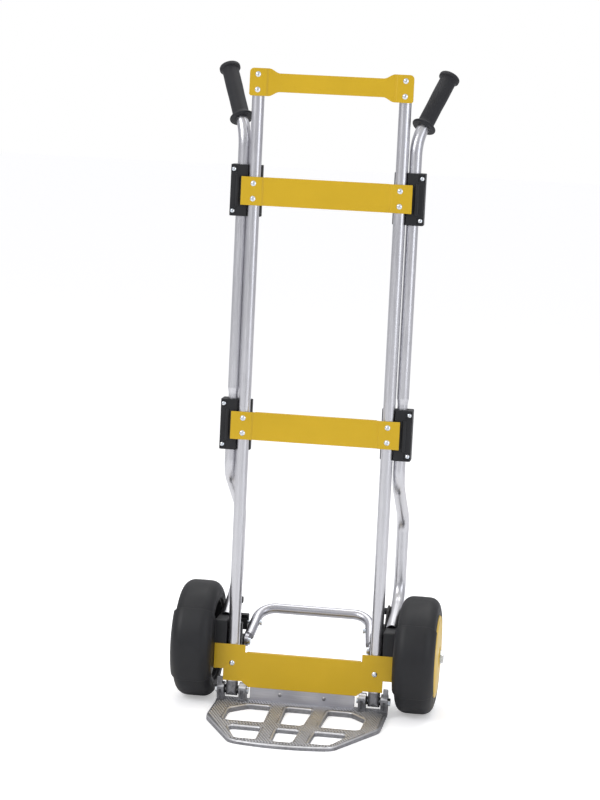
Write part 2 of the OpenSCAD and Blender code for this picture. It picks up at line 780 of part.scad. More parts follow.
// Flat eye that plugs into one leg of the rear bar
module bar_eye(side) color(zinc) at_frame() on_side(side) bar_plane() difference() {
  half_t = eye_t / 2;
  union() {
    rod_x(bar_pivot_x - half_t, bar_pivot_x + half_t, bar_r, 0);
    box([bar_pivot_x - half_t, 0, -8], [bar_pivot_x + half_t, bar_leg_start - 2, 8]);
    translate([bar_pivot_x, 0, 0]) rotate([-90, 0, bar_splay]) {
      translate([0, 0, bar_leg_start - 3.5]) cylinder(h = 3.3, r = bar_r);
      translate([0, 0, bar_leg_start - 1]) cylinder(h = 26, r = bar_bore_r - slip);
    }
  }
  rod_x(bar_pivot_x - 20, bar_pivot_x + 20, pin_r + run, 0);
}

module bar_pivot_bolts() color(zinc) at_frame() both_sides() {
  rod_x(bar_pivot_x - eye_t / 2 - part_gap - 4, bar_pivot_x - eye_t / 2 - part_gap, 8, axle_back, axle_z);
  rod_x(bar_pivot_x - eye_t / 2 - part_gap - eps, boss_in + 16, pin_r, axle_back, axle_z);
}

// Black arm beside each leg of the bar, with a slot that the stop bolt drops into
module bar_arm(side) color(black) at_frame() on_side(side) difference() {
  arm = [[boss_in + 1.5, 93, 143], [ear_x[0], 123, 175]];
  translate([arm[0][0], 0, 0]) side_view() linear_extrude(arm[1][0] - arm[0][0])
    round_rect([arm[0][1], arm[0][2]], [arm[1][1], arm[1][2]], 4);
  bar_plane() side_view() rotate_extrude(angle = 45)
    translate([stop_at - stop_bolt_r - part_gap, 0])
      square([2 * (stop_bolt_r + part_gap), ear_x[0] - 5]);
  bar_plane() rod_x(0, ear_x[0] - 5, stop_bolt_r + part_gap, stop_at);
}

module bar_stop_bolts() color(zinc) at_frame() bar_plane() both_sides() {
  rod_x(bar_x(stop_at) - bar_r - 1, ear_x[0] - 6, stop_bolt_r, stop_at);
  rod_x(bar_x(stop_at) - bar_r - 5, bar_x(stop_at) - bar_r - 1, 6.5, stop_at);
}

// ---- nodes ----

upright(-1);  // left_upright
upright(1);  // right_upright
upright_caps();
top_plate();
cross_plate(upper_z);  // upper_plate
cross_plate(lower_z);  // lower_plate
bottom_plate();
plate_screws();
clamp(-1, upper_z);  // left_upper_clamp
clamp(1, upper_z);  // right_upper_clamp
clamp(-1, lower_z);  // left_lower_clamp
clamp(1, lower_z);  // right_lower_clamp
clamp_cover(-1, upper_z);  // left_upper_clamp_cover
clamp_cover(1, upper_z);  // right_upper_clamp_cover
clamp_cover(-1, lower_z);  // left_lower_clamp_cover
clamp_cover(1, lower_z);  // right_lower_clamp_cover
clamp_bolts();
clamp_nuts();
saddle_bolts();
handle_tube(-1);  // left_handle_tube
handle_tube(1);  // right_handle_tube
grip(-1);  // left_grip
grip(1);  // right_grip
leg_tube(-1);  // left_leg_tube
leg_tube(1);  // right_leg_tube
leg_tube_knobs();
wheel_bracket(-1);  // left_wheel_bracket
wheel_bracket(1);  // right_wheel_bracket
stub_axle(-1);  // left_stub_axle
stub_axle(1);  // right_stub_axle
axle_washers();
axle_nuts();
tyre(-1);  // left_tyre
tyre(1);  // right_tyre
rim(-1);  // left_rim
rim(1);  // right_rim
hub_cap(-1);  // left_hub_cap
hub_cap(1);  // right_hub_cap
bearings(-1);  // left_bearings
bearings(1);  // right_bearings
bearing_spacer(-1);  // left_bearing_spacer
bearing_spacer(1);  // right_bearing_spacer
hinge_foot(-1);  // left_hinge_foot
hinge_foot(1);  // right_hinge_foot
hinge_pin(-1);  // left_hinge_pin
hinge_pin(1);  // right_hinge_pin
hinge_nuts();
hinge_washers();
toe_plate();
toe_back_flange();
flange_rivets();
rear_bar();
bar_eye(-1);  // left_bar_eye
bar_eye(1);  // right_bar_eye
bar_pivot_bolts();
bar_arm(-1);  // left_bar_arm
bar_arm(1);  // right_bar_arm
bar_stop_bolts();
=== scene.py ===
"""The looks of an aluminium hand truck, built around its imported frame."""
import json
import math

import bmesh
import bpy
from bpy.props import FloatProperty, FloatVectorProperty, IntProperty, PointerProperty
from bpy.types import Operator, Panel, PropertyGroup
from mathutils import Matrix, Vector
from mathutils.bvhtree import BVHTree


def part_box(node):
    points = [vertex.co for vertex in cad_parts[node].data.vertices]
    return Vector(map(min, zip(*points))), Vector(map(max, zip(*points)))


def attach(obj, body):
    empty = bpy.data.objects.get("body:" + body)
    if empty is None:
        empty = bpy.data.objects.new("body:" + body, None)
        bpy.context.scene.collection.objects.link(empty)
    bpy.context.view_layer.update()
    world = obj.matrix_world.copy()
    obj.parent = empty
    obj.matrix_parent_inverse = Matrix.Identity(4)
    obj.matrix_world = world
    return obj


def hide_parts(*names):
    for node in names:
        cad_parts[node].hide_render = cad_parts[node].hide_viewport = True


bl_info = {
    "name": "Hand Truck Looks",
    "version": (1, 0, 0),
    "blender": (4, 5, 0),
    "location": "View3D > Sidebar > Hand Truck",
    "description": "Builds the finished pieces, materials and studio of a two-wheeled hand truck",
    "category": "Object",
}

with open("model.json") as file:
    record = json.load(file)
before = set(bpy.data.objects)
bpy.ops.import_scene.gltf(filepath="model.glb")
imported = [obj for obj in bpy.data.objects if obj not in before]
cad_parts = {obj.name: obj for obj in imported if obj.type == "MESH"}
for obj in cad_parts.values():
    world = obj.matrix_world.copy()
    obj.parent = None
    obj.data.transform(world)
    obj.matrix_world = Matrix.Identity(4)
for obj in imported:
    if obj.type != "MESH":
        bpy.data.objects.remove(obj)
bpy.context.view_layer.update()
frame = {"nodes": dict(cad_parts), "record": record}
NODES = frame["nodes"]
BODY_OF = {name: body for body, names in frame["record"]["behaviour"]["bodies"].items() for name in names}
SLOT_OF = {part["node"]: part["material_slot"] for part in frame["record"]["subparts"]}
SIDES = ("left", "right")
TYRE_LOW, TYRE_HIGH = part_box("right_tyre")
UPRIGHT_LOW, UPRIGHT_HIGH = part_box("right_upright")
TOE_LOW, TOE_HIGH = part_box("toe_plate")
# Heights between which the top of the toe plate's deck lies, above its underside and below its lugs
DECK_LOWEST, DECK_HIGHEST = 0.006, 0.0123


def colour(name, about, value):
    """A colour that a user may change"""
    return FloatVectorProperty(name=name, description=about, default=value, size=3, min=0, max=1,
                               subtype="COLOR")


def length(name, about, value):
    """A size in metres that a user may change"""
    return FloatProperty(name=name, description=about, default=value, min=0, precision=4, unit="LENGTH")


class HandTruckColours(PropertyGroup):
    """Colours of the finishes"""
    tube: colour("Tube", "Drawn aluminium of the frame tubes", (0.72, 0.72, 0.75))
    bar: colour("Rear bar", "Brushed aluminium of the rear bar", (0.56, 0.56, 0.60))
    cast: colour("Casting", "Cast aluminium of the toe plate", (0.30, 0.30, 0.315))
    tread: colour("Tread", "Rubbed pips on the toe plate", (0.62, 0.62, 0.64))
    yellow: colour("Powder coat", "Yellow coat of the cross plates", (0.63, 0.40, 0.010))
    cap_yellow: colour("Hub caps", "Yellow plastic of the hub caps", (0.68, 0.44, 0.008))
    black: colour("Mouldings", "Black plastic of the clamps and wheel guards", (0.013, 0.0135, 0.0155))
    grip: colour("Grips", "Black rubber of the hand grips", (0.014, 0.0145, 0.018))
    tyre: colour("Tyres", "Black rubber of the tyres", (0.014, 0.0145, 0.0165))
    zinc: colour("Fasteners", "Bright zinc plate of the screws and nuts", (0.80, 0.81, 0.82))


class HandTruckSizes(PropertyGroup):
    """Sizes of the detail that the finished pieces add"""
    plate_edge: length("Plate edge", "Rounding along the edges of the cross plates", 0.0005)
    plate_fold: length("Plate fold", "Rounding of the folds beside the uprights", 0.0018)
    clamp_edge: length("Clamp edge", "Rounding along the edges of the clamps", 0.0012)
    guard_edge: length("Guard edge", "Rounding along the edges of the wheel brackets", 0.0012)
    deck_edge: length("Deck edge", "Rounding along the upper edges of the toe plate", 0.0045)
    shoulder: length("Tyre shoulder", "Radius of the tyres' shoulders", 0.024)
    tread_pitch: length("Tread pitch", "Distance between the pips on the toe plate", 0.0065)
    tread_height: length("Tread height", "Height of the pips on the toe plate", 0.0012)
    rib_count: IntProperty(name="Grip ribs", description="Ribs round each hand grip",
                           default=36, min=8, max=72)


class HandTruckStudio(PropertyGroup):
    """Camera and light"""
    heading: FloatProperty(name="Heading", description="Camera's turn towards the left side of the truck",
                           default=math.radians(8.12), subtype="ANGLE")
    elevation: FloatProperty(name="Elevation", description="Camera's tilt down",
                             default=math.radians(7.73), subtype="ANGLE")
    roll: FloatProperty(name="Roll", description="Camera's turn about its own line of sight",
                        default=math.radians(2.75), subtype="ANGLE")
    distance: length("Distance", "From the camera to the point that it looks at", 5.082)
    target: FloatVectorProperty(name="Target", description="Point that the camera looks at",
                                default=(-0.0342, 0.054, 0.6764), size=3, unit="LENGTH")
    focal: FloatProperty(name="Focal length", description="In millimetres on a sensor 36 mm wide",
                         default=143.55, min=10)
    light: FloatProperty(name="Light", description="Strength of all the lamps", default=1.0, min=0)


# ---- node helpers ----

def add(tree, kind, settings=None, **inputs):
    """A shader node, with its settings made and its inputs set or linked"""
    made = tree.nodes.new(kind)
    for name, value in (settings or {}).items():
        setattr(made, name, value)
    for name, value in inputs.items():
        plug(tree, made.inputs[name.replace("_", " ")], value)
    return made


def plug(tree, socket, value):
    """Links another node's output to a socket, or sets the socket's own value"""
    if isinstance(value, bpy.types.NodeSocket):
        tree.links.new(value, socket)
    else:
        socket.default_value = value


def maths(tree, operation, a, b=0.0, clamp=False):
    made = add(tree, "ShaderNodeMath", {"operation": operation, "use_clamp": clamp})
    plug(tree, made.inputs[0], a)
    plug(tree, made.inputs[1], b)
    return made.outputs[0]


def noise(tree, vector, scale, detail, rough=0.5):
    """Noise from 0 to 1"""
    made = add(tree, "ShaderNodeTexNoise", Vector=vector, Scale=scale, Detail=detail, Roughness=rough)
    return made.outputs[0]


def mixed(tree, share, a, b):
    """One colour mixed into another"""
    made = add(tree, "ShaderNodeMix", {"data_type": "RGBA", "blend_type": "MIX"})
    plug(tree, made.inputs[0], share)
    plug(tree, made.inputs[6], a)
    plug(tree, made.inputs[7], b)
    return made.outputs[2]


def spread(tree, value, low, high, to_low=0.0, to_high=1.0):
    """A value whose range from low to high becomes another range"""
    made = add(tree, "ShaderNodeMapRange", {"interpolation_type": "SMOOTHSTEP"})
    plug(tree, made.inputs[0], value)
    for place, number in enumerate((low, high, to_low, to_high), 1):
        made.inputs[place].default_value = number
    return made.outputs[0]


def shade(rgb, factor):
    """A colour made darker or lighter, with its alpha"""
    return tuple(min(1.0, c * factor) for c in rgb) + (1.0,)


def mottled(tree, clouds, rgb, dark, light):
    """A colour that drifts between a darker and a lighter shade of itself"""
    return mixed(tree, spread(tree, clouds, 0.3, 0.7), shade(rgb, dark), shade(rgb, light))


def new_group(name, inputs, output):
    """An empty node group with number inputs, a Vector input and one output number"""
    group = bpy.data.node_groups.new(name, "ShaderNodeTree")
    group.interface.new_socket(name="Vector", in_out="INPUT", socket_type="NodeSocketVector")
    for label, value in inputs.items():
        socket = group.interface.new_socket(name=label, in_out="INPUT", socket_type="NodeSocketFloat")
        socket.default_value = value
    group.interface.new_socket(name=output, in_out="OUTPUT", socket_type="NodeSocketFloat")
    return group, group.nodes.new("NodeGroupInput").outputs, group.nodes.new("NodeGroupOutput").inputs[0]


def grain_group():
    """Fine grain: a height from 0 to 1 that mixes two sizes of noise"""
    group, given, result = new_group("Fine grain", {"Scale": 400.0, "Coarse": 0.3}, "Height")
    fine = noise(group, given["Vector"], given["Scale"], 3.0, 0.6)
    coarse = noise(group, given["Vector"], maths(group, "MULTIPLY", given["Scale"], 0.17), 2.0)
    part = maths(group, "MULTIPLY", coarse, given["Coarse"])
    rest = maths(group, "MULTIPLY", fine, maths(group, "SUBTRACT", 1.0, given["Coarse"]))
    group.links.new(maths(group, "ADD", part, rest), result)
    return group


def wear_group():
    """Edge wear: a mask that is strong along broken-up edges"""
    group, given, result = new_group("Edge wear", {"Width": 0.0015, "Scale": 60.0, "Amount": 0.5}, "Mask")
    rounded = add(group, "ShaderNodeBevel", {"samples": 4}, Radius=given["Width"])
    flat = add(group, "ShaderNodeNewGeometry")
    along = add(group, "ShaderNodeVectorMath", {"operation": "DOT_PRODUCT"})
    group.links.new(rounded.outputs[0], along.inputs[0])
    group.links.new(flat.outputs["Normal"], along.inputs[1])
    edge = spread(group, along.outputs["Value"], 0.995, 0.90)
    patches = noise(group, given["Vector"], given["Scale"], 4.0)
    broken = spread(group, patches, 0.38, 0.62)
    mask = maths(group, "MULTIPLY", maths(group, "MULTIPLY", edge, broken), given["Amount"], clamp=True)
    group.links.new(mask, result)
    return group


def dust_group():
    """Dust: a patchy mask on faces that look up"""
    group, given, result = new_group("Settled dust", {"Scale": 14.0, "Amount": 0.2}, "Mask")
    facing = add(group, "ShaderNodeSeparateXYZ")
    group.links.new(add(group, "ShaderNodeNewGeometry").outputs["Normal"], facing.inputs[0])
    upward = spread(group, facing.outputs["Z"], 0.25, 0.95)
    patches = noise(group, given["Vector"], given["Scale"], 5.0)
    broken = spread(group, patches, 0.35, 0.7)
    mask = maths(group, "MULTIPLY", maths(group, "MULTIPLY", upward, broken), given["Amount"], clamp=True)
    group.links.new(mask, result)
    return group


def effect(tree, name, vector, **values):
    """One of the shared effects, placed in a material with its own values"""
    made = tree.nodes.new("ShaderNodeGroup")
    made.node_tree = bpy.data.node_groups[name]
    tree.links.new(vector, made.inputs["Vector"])
    for label, value in values.items():
        made.inputs[label].default_value = value
    return made.outputs[0]


class Finish:
    """A material with its shader, its object coordinates and the means to bump it"""

    def __init__(self, name, rough, metallic=0.0, **constants):
        self.material = bpy.data.materials.new(name)
        self.material.use_nodes = True
        self.tree = self.material.node_tree
        self.shader = self.tree.nodes["Principled BSDF"]
        self.shader.inputs["Metallic"].default_value = metallic
        self.shader.inputs["Roughness"].default_value = rough
        for label, value in constants.items():
            self.shader.inputs[label.replace("_", " ")].default_value = value
        self.place = add(self.tree, "ShaderNodeTexCoord").outputs["Object"]

    def stretched(self, x, y, z):
        return add(self.tree, "ShaderNodeMapping", Vector=self.place, Scale=(x, y, z)).outputs[0]

    def feed(self, **sockets):
        for label, value in sockets.items():
            self.tree.links.new(value, self.shader.inputs[label.replace("_", " ")])

    def bump(self, height, strength, distance=0.0005):
        made = add(self.tree, "ShaderNodeBump", Height=height, Strength=strength, Distance=distance)
        self.feed(Normal=made.outputs[0])


# ---- finishes ----

def drawn_aluminium(name, rgb, rough, along):
    """Tube metal with fine streaks along its length and soft cloudy variation"""
    finish = Finish(name, rough, 1.0)
    tree = finish.tree
    streaks = noise(tree, finish.stretched(*along), 1400.0, 3.0)
    tone = mottled(tree, noise(tree, finish.place, 9.0, 4.0), rgb, 0.93, 1.04)
    lined = mixed(tree, spread(tree, streaks, 0.35, 0.65), shade(rgb, 0.86), tone)
    dusty = effect(tree, "Settled dust", finish.place, Scale=18.0, Amount=0.15)
    finish.feed(Base_Color=mixed(tree, dusty, lined, (0.62, 0.61, 0.59, 1.0)))
    finish.feed(Roughness=maths(tree, "ADD", spread(tree, streaks, 0.3, 0.7, rough - 0.05, rough + 0.08),
                                maths(tree, "MULTIPLY", dusty, 0.3)))
    finish.bump(streaks, 0.12, 0.0001)
    return finish.material


def cast_aluminium(name, rgb):
    """Cast metal: pitted grain, darker hollows, and edges and fillets rubbed bright"""
    finish = Finish(name, 0.5, 0.85)
    tree = finish.tree
    grain = effect(tree, "Fine grain", finish.place, Scale=900.0, Coarse=0.45)
    stains = noise(tree, finish.place, 22.0, 6.0, 0.65)
    worn = effect(tree, "Edge wear", finish.place, Width=0.0012, Scale=90.0, Amount=0.75)
    tilt = add(tree, "ShaderNodeSeparateXYZ")
    tree.links.new(add(tree, "ShaderNodeTexCoord").outputs["Normal"], tilt.inputs[0])
    fillet = maths(tree, "MULTIPLY", spread(tree, tilt.outputs["Z"], 0.30, 0.55),
                   spread(tree, tilt.outputs["Z"], 0.985, 0.93))
    rubbed = maths(tree, "MAXIMUM", worn, maths(tree, "MULTIPLY", fillet, 0.7))
    tone = mixed(tree, spread(tree, stains, 0.32, 0.68), shade(rgb, 0.78), shade(rgb, 1.12))
    pitted = mixed(tree, spread(tree, grain, 0.30, 0.52), shade(rgb, 0.55), tone)
    finish.feed(Base_Color=mixed(tree, rubbed, pitted, (0.80, 0.80, 0.82, 1.0)))
    finish.feed(Roughness=maths(tree, "SUBTRACT", spread(tree, grain, 0.3, 0.7, 0.62, 0.42),
                                maths(tree, "MULTIPLY", rubbed, 0.15)))
    finish.bump(grain, 0.45, 0.0004)
    return finish.material


def powder_coat(colours):
    """Yellow powder coat: orange peel, faint mottling and thin coat along the edges"""
    finish = Finish("yellow powder coat", 0.4, 0.0, Coat_Roughness=0.25, Specular_IOR_Level=0.35)
    tree = finish.tree
    peel = effect(tree, "Fine grain", finish.place, Scale=520.0, Coarse=0.5)
    clouds = noise(tree, finish.place, 6.0, 5.0)
    worn = effect(tree, "Edge wear", finish.place, Width=0.0009, Scale=45.0, Amount=0.35)
    dusty = effect(tree, "Settled dust", finish.place, Scale=20.0, Amount=0.15)
    tone = mottled(tree, clouds, colours.yellow, 0.95, 1.04)
    thin = mixed(tree, worn, tone, shade(colours.yellow, 0.72))
    finish.feed(Base_Color=mixed(tree, dusty, thin, (0.75, 0.66, 0.42, 1.0)))
    finish.feed(Roughness=spread(tree, peel, 0.3, 0.7, 0.36, 0.50),
                Coat_Weight=spread(tree, clouds, 0.3, 0.7, 0.05, 0.12))
    finish.bump(peel, 0.22, 0.0002)
    return finish.material


def moulded_plastic(name, rgb, rough, texture, strength, sheen=0.0):
    """Moulded plastic or rubber with a sparked texture, scuffs and dust"""
    finish = Finish(name, rough, 0.0, Sheen_Weight=sheen, Sheen_Roughness=0.5, Specular_IOR_Level=0.36)
    tree = finish.tree
    grain = effect(tree, "Fine grain", finish.place, Scale=texture, Coarse=0.3)
    clouds = noise(tree, finish.place, 16.0, 6.0, 0.6)
    worn = effect(tree, "Edge wear", finish.place, Width=0.0015, Scale=70.0, Amount=0.3)
    dusty = effect(tree, "Settled dust", finish.place, Scale=11.0, Amount=0.07)
    tone = mottled(tree, clouds, rgb, 0.82, 1.22)
    rubbed = mixed(tree, worn, tone, shade(rgb, 2.2))
    finish.feed(Base_Color=mixed(tree, dusty, rubbed, (0.26, 0.25, 0.24, 1.0)))
    finish.feed(Roughness=maths(tree, "ADD", spread(tree, clouds, 0.3, 0.7, rough - 0.06, rough + 0.08),
                                maths(tree, "MULTIPLY", dusty, 0.4), clamp=True))
    finish.bump(grain, strength, 0.0003)
    return finish


def grip_rubber(colours, ribs):
    """Grip rubber with fine knurling that follows the grip's own wrap"""
    finish = moulded_plastic("grip rubber", colours.grip, 0.58, 1500.0, 0.3, 0.05)
    tree = finish.tree
    wrap = add(tree, "ShaderNodeSeparateXYZ")
    tree.links.new(add(tree, "ShaderNodeTexCoord").outputs["UV"], wrap.inputs[0])
    across = maths(tree, "SINE", maths(tree, "MULTIPLY", wrap.outputs["X"], math.tau * ribs))
    along = maths(tree, "SINE", maths(tree, "MULTIPLY", wrap.outputs["Y"], math.tau * ribs))
    knurl = maths(tree, "MULTIPLY", across, along)
    grain = effect(tree, "Fine grain", finish.place, Scale=1500.0, Coarse=0.3)
    finish.bump(maths(tree, "ADD", maths(tree, "MULTIPLY", knurl, 0.6), grain), 0.5, 0.0004)
    return finish.material


def cap_plastic(colours):
    """Smooth yellow moulding"""
    finish = Finish("yellow cap plastic", 0.32, 0.0, Coat_Roughness=0.2)
    tree = finish.tree
    clouds = noise(tree, finish.place, 12.0, 4.0)
    grain = effect(tree, "Fine grain", finish.place, Scale=800.0, Coarse=0.4)
    dusty = effect(tree, "Settled dust", finish.place, Scale=16.0, Amount=0.25)
    tone = mottled(tree, clouds, colours.cap_yellow, 0.93, 1.05)
    finish.feed(Base_Color=mixed(tree, dusty, tone, (0.72, 0.62, 0.40, 1.0)))
    finish.feed(Roughness=spread(tree, clouds, 0.3, 0.7, 0.26, 0.40))
    finish.bump(grain, 0.12, 0.0002)
    return finish.material


def zinc_plate(colours):
    """Bright zinc plate, slightly blue in patches"""
    finish = Finish("zinc plate", 0.24, 1.0)
    tree = finish.tree
    clouds = noise(tree, finish.place, 160.0, 3.0)
    grain = effect(tree, "Fine grain", finish.place, Scale=2600.0, Coarse=0.3)
    bluish = (colours.zinc[0] * 0.86, colours.zinc[1] * 0.93, colours.zinc[2], 1.0)
    finish.feed(Base_Color=mixed(tree, spread(tree, clouds, 0.35, 0.65), bluish, shade(colours.zinc, 1.05)),
                Roughness=spread(tree, grain, 0.3, 0.7, 0.18, 0.34))
    finish.bump(grain, 0.1, 0.0001)
    return finish.material


def make_finishes(scene):
    """Every material, under the name of the record's slot that it dresses or of its own use"""
    colours = scene.hand_truck_colours
    for build in (grain_group, wear_group, dust_group):
        build()
    upright = (1.0, 1.0, 0.012)
    crosswise = (0.012, 1.0, 1.0)
    return {
        "tube_aluminium": drawn_aluminium("satin tube aluminium", colours.tube, 0.30, upright),
        "bar_aluminium": drawn_aluminium("brushed bar aluminium", colours.bar, 0.30, crosswise),
        "flange_aluminium": drawn_aluminium("extruded strip aluminium", colours.bar, 0.34, crosswise),
        "cast_aluminium": cast_aluminium("cast aluminium", colours.cast),
        "worn_casting": cast_aluminium("worn tread", colours.tread),
        "yellow_sheet": powder_coat(colours),
        "yellow_plastic": cap_plastic(colours),
        "black_plastic": moulded_plastic("black moulded plastic", colours.black, 0.46, 1300.0, 0.25).material,
        "grip_rubber": grip_rubber(colours, scene.hand_truck_sizes.rib_count),
        "tyre_rubber": moulded_plastic("tyre rubber", colours.tyre, 0.55, 700.0, 0.18).material,
        "zinc_steel": zinc_plate(colours),
    }


FINISHES = {}


def finish_of(slot):
    """The material of a slot, all of them made at the first call"""
    if not FINISHES:
        FINISHES.update(make_finishes(bpy.context.scene))
    return FINISHES[slot]


# ---- mesh helpers ----

def dress(*names):
    """Gives CAD nodes the finish of their slots"""
    for name in names:
        slots = NODES[name].material_slots
        for slot in slots:
            slot.material = finish_of(SLOT_OF[name])


def piece(bm, name, node, finish=None, smooth_below=35.0):
    """Makes a bmesh a finished piece that has the slot of a CAD node and rides on its body"""
    for edge in bm.edges:
        edge.smooth = not edge.is_manifold or edge.calc_face_angle() < math.radians(smooth_below)
    for face in bm.faces:
        face.smooth = True
    mesh = bpy.data.meshes.new(name)
    bm.to_mesh(mesh)
    bm.free()
    made = bpy.data.objects.new(name, mesh)
    bpy.context.scene.collection.objects.link(made)
    slot = SLOT_OF[node]
    mesh.materials.append(finish_of(finish or slot))
    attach(made, BODY_OF[node])
    return made


def cad_copy(name):
    """A CAD node's mesh as one welded bmesh whose flat faces are whole"""
    bm = bmesh.new()
    bm.from_mesh(NODES[name].data)
    bmesh.ops.remove_doubles(bm, verts=bm.verts, dist=2e-6)
    bmesh.ops.dissolve_degenerate(bm, edges=bm.edges, dist=1e-6)
    bmesh.ops.dissolve_limit(bm, angle_limit=math.radians(0.6), verts=bm.verts, edges=bm.edges)
    return bm


def soften(name, width, bm=None, finish=None):
    """Replaces a CAD node with a copy, or with the bmesh given, whose sharp edges are rounded"""
    made = piece(bm or cad_copy(name), "finished_" + name, name, finish=finish)
    bevel = made.modifiers.new("Rounded edges", "BEVEL")
    bevel.width = width
    bevel.segments = 2
    bevel.limit_method = "ANGLE"
    bevel.angle_limit = math.radians(40)
    bevel.use_clamp_overlap = False
    bevel.harden_normals = True
    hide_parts(name)
    return made


def turn_of(before, at, after):
    """Unit steps into and out of a corner, and how far it turns"""
    into, out = (at - before).normalized(), (after - at).normalized()
    return into, out, math.atan2(into.x * out.y - into.y * out.x, into.dot(out))


def outline(corners, steps=6):
    """Points of a flat line of (x, y, radius), with each corner rounded by its radius"""
    flat = [Vector(corner[:2]) for corner in corners]
    points = [flat[0]]
    for i in range(1, len(corners) - 1):
        into, out, angle = turn_of(flat[i - 1], flat[i], flat[i + 1])
        radius = corners[i][2]
        if radius == 0:
            points.append(flat[i])
            continue
        start = flat[i] - into * radius * math.tan(abs(angle) / 2)
        side = math.copysign(1, angle)
        centre = start + Vector((-into.y, into.x)) * radius * side
        for k in range(steps + 1):
            points.append(centre + Matrix.Rotation(angle * k / steps, 2) @ (start - centre))
    return points + [flat[-1]]


def lathe(profile, steps=96):
    """A solid turned about Z from a closed line of radius against height"""
    bm = bmesh.new()
    line = [bm.verts.new((p[0], 0, p[1])) for p in profile]
    edges = [bm.edges.new(pair) for pair in zip(line, line[1:] + line[:1])]
    bmesh.ops.spin(bm, geom=line + edges, cent=(0, 0, 0), axis=(0, 0, 1), angle=math.tau, steps=steps,
                   use_merge=True, use_duplicate=False)
    bmesh.ops.remove_doubles(bm, verts=bm.verts, dist=1e-6)
    bmesh.ops.recalc_face_normals(bm, faces=bm.faces)
    return bm


def wrap_uv(bm, span):
    """UVs round Z and along it, both in turns of the same real size"""
    layer = bm.loops.layers.uv.new("wrap")
    for face in bm.faces:
        middle = face.calc_center_median()
        seam = math.atan2(middle.y, middle.x)
        for loop in face.loops:
            at = loop.vert.co
            angle = math.atan2(at.y, at.x)
            angle += math.tau * round((seam - angle) / math.tau)
            loop[layer].uv = (angle / math.tau, at.z / span)


def wheel_place(side):
    """Puts a lathed wheel part, drawn about Z from the inner face out, on its axle"""
    low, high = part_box(side + "_tyre")
    outwards = 1 if side == "right" else -1
    inner = low.x if side == "right" else high.x
    turn = Matrix.Rotation(math.radians(90) * outwards, 4, "Y")
    return Matrix.Translation((inner, (low.y + high.y) / 2, (low.z + high.z) / 2)) @ turn


def tyre_bmesh(shoulder):
    """Tyre with round shoulders, a moulding ridge on each wall and a bead lip"""
    width = TYRE_HIGH.x - TYRE_LOW.x
    radius = (TYRE_HIGH.z - TYRE_LOW.z) / 2
    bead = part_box("right_rim")[1].z - (TYRE_LOW.z + TYRE_HIGH.z) / 2
    ridge = bead + 0.009
    wall = [(bead + 0.0002, 0.006, 0), (bead + 0.0002, 0.0012, 0.001), (bead + 0.004, 0.0004, 0.002),
            (ridge, 0.0008, 0.001), (ridge + 0.001, 0.0, 0.0004), (ridge + 0.003, 0.0, 0.0004),
            (ridge + 0.004, 0.0008, 0.001)]
    tread = [(radius - 0.0006, 0.0004, shoulder), (radius, width / 2, 0)]
    half = outline(wall + tread, steps=8)
    other = [Vector((p.x, width - p.y)) for p in reversed(half[:-1])]
    return lathe(half + other)


def cap_bmesh():
    """Shallow conical hub cap with a rounded rim and a raised ring round its axle hole"""
    low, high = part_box("right_hub_cap")
    inner = TYRE_LOW.x
    radius = (high.z - low.z) / 2
    hole = 0.010
    rim, face, nose = low.x - inner, TYRE_HIGH.x + 0.001 - inner, high.x - inner
    profile = outline([
        (radius - 0.003, rim, 0), (radius, rim, 0.0006), (radius, face, 0.0016),
        (radius - 0.006, face, 0.001), (radius - 0.008, face - 0.0008, 0.001),
        (radius - 0.011, face + 0.0009, 0.002),
        (0.024, nose - 0.0016, 0.003), (0.021, nose, 0.001), (hole + 0.0005, nose, 0.0006),
        (hole + 0.0005, nose - 0.004, 0), (0.017, nose - 0.0045, 0), (radius - 0.003, face - 0.003, 0),
        (radius - 0.003, rim, 0),
    ], steps=4)
    return lathe(profile[:-1])


def grip_line(side):
    """Start, direction and length of a hand grip, from its CAD node"""
    lean, heading = math.radians(37.2), math.radians(32.6)
    outwards = 1 if side == "right" else -1
    level = math.sin(lean)
    line = Vector((level * math.sin(heading) * outwards, level * math.cos(heading), math.cos(lean)))
    corners = [vertex.co for vertex in NODES[side + "_grip"].data.vertices]
    along = [corner.dot(line) for corner in corners]
    turn = line.to_track_quat("Z", "Y").to_matrix()
    flat = [turn.transposed() @ corner for corner in corners]
    middle = [(min(p[i] for p in flat) + max(p[i] for p in flat)) / 2 for i in (0, 1)]
    start = turn @ Vector((middle[0], middle[1], min(along)))
    return Matrix.Translation(start) @ turn.to_4x4(), max(along) - min(along)


def grip_bmesh(span):
    """Hand grip with a wide flange below, a smaller one on top and a gently waisted body"""
    bore, body, flange, top = 0.0131, 0.018, 0.026, 0.0225
    profile = outline([
        (bore, 0, 0), (flange, 0, 0.0028), (flange, 0.006, 0.0028), (body + 0.001, 0.006, 0.002),
        (body - 0.0004, 0.014, 0.004), (body - 0.0006, span * 0.4, 0.05), (body, span * 0.62, 0.05),
        (body - 0.0003, span - 0.011, 0.003), (top, span - 0.009, 0.0022), (top, span, 0.004),
        (0.010, span, 0.002), (0.009, span - 0.0012, 0.001), (0, span - 0.0012, 0),
    ], steps=5)
    inside = [Vector((0, span - 0.008)), Vector((bore, span - 0.008))]
    bm = lathe(profile + inside, steps=72)
    wrap_uv(bm, math.tau * body)
    return bm


def folded_bmesh(name, radius):
    """A cross plate whose long upright folds of 45 degrees are rounded"""
    bm = cad_copy(name)
    shortest = 0.02
    folds = []
    for edge in bm.edges:
        if edge.is_manifold and math.radians(40) < edge.calc_face_angle() < math.radians(50):
            if abs(edge.verts[0].co.z - edge.verts[1].co.z) > shortest:
                folds.append(edge)
    bmesh.ops.bevel(bm, geom=folds, offset=radius, offset_type="OFFSET", segments=4, profile=0.5,
                    affect="EDGES", material=-1, clamp_overlap=False)
    return bm


